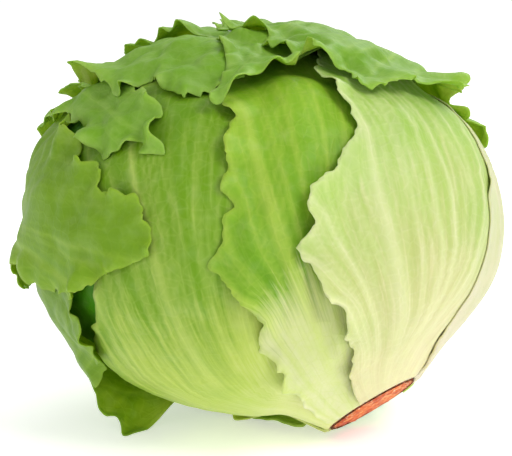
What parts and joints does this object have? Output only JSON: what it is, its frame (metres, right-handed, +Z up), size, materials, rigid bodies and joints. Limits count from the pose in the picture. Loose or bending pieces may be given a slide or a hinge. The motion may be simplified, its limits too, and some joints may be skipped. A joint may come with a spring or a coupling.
{
  "type": "iceberg lettuce head",
  "caption": "Head of iceberg lettuce lying on its side: a dense heart wrapped in overlapping waved leaves, with a round cut stem.",
  "frame": {"origin": "bottom centre of the bounding box, on the surface the head lies on", "axes": "+X across the head towards the cut stem, +Z up, -Y towards the side shown in the picture"},
  "size_m": [0.1702, 0.1575, 0.1421],
  "materials": {
    "cut_stem": "rough, dried cut face",
    "heart_leaf": "waxy leaf, semi-matt",
    "pale_leaf": "waxy leaf, semi-matt",
    "yellow_leaf": "waxy leaf, semi-matt",
    "cream_leaf": "waxy leaf, semi-matt",
    "green_leaf": "waxy leaf, semi-matt",
    "wrapper_leaf": "waxy leaf with a dull bloom"
  },
  "bodies": {
    "root": {"stem": "cut_stem", "heart": "heart_leaf", "leaf_front_left": "pale_leaf", "leaf_front_middle": "yellow_leaf", "leaf_front_right": "cream_leaf", "leaf_right": "cream_leaf", "leaf_left_low": "green_leaf", "leaf_back": "wrapper_leaf", "leaf_left": "green_leaf", "leaf_upper_left": "wrapper_leaf", "leaf_top_left": "wrapper_leaf", "leaf_top_middle": "wrapper_leaf", "leaf_top_right": "wrapper_leaf"}
  },
  "joints": []
}
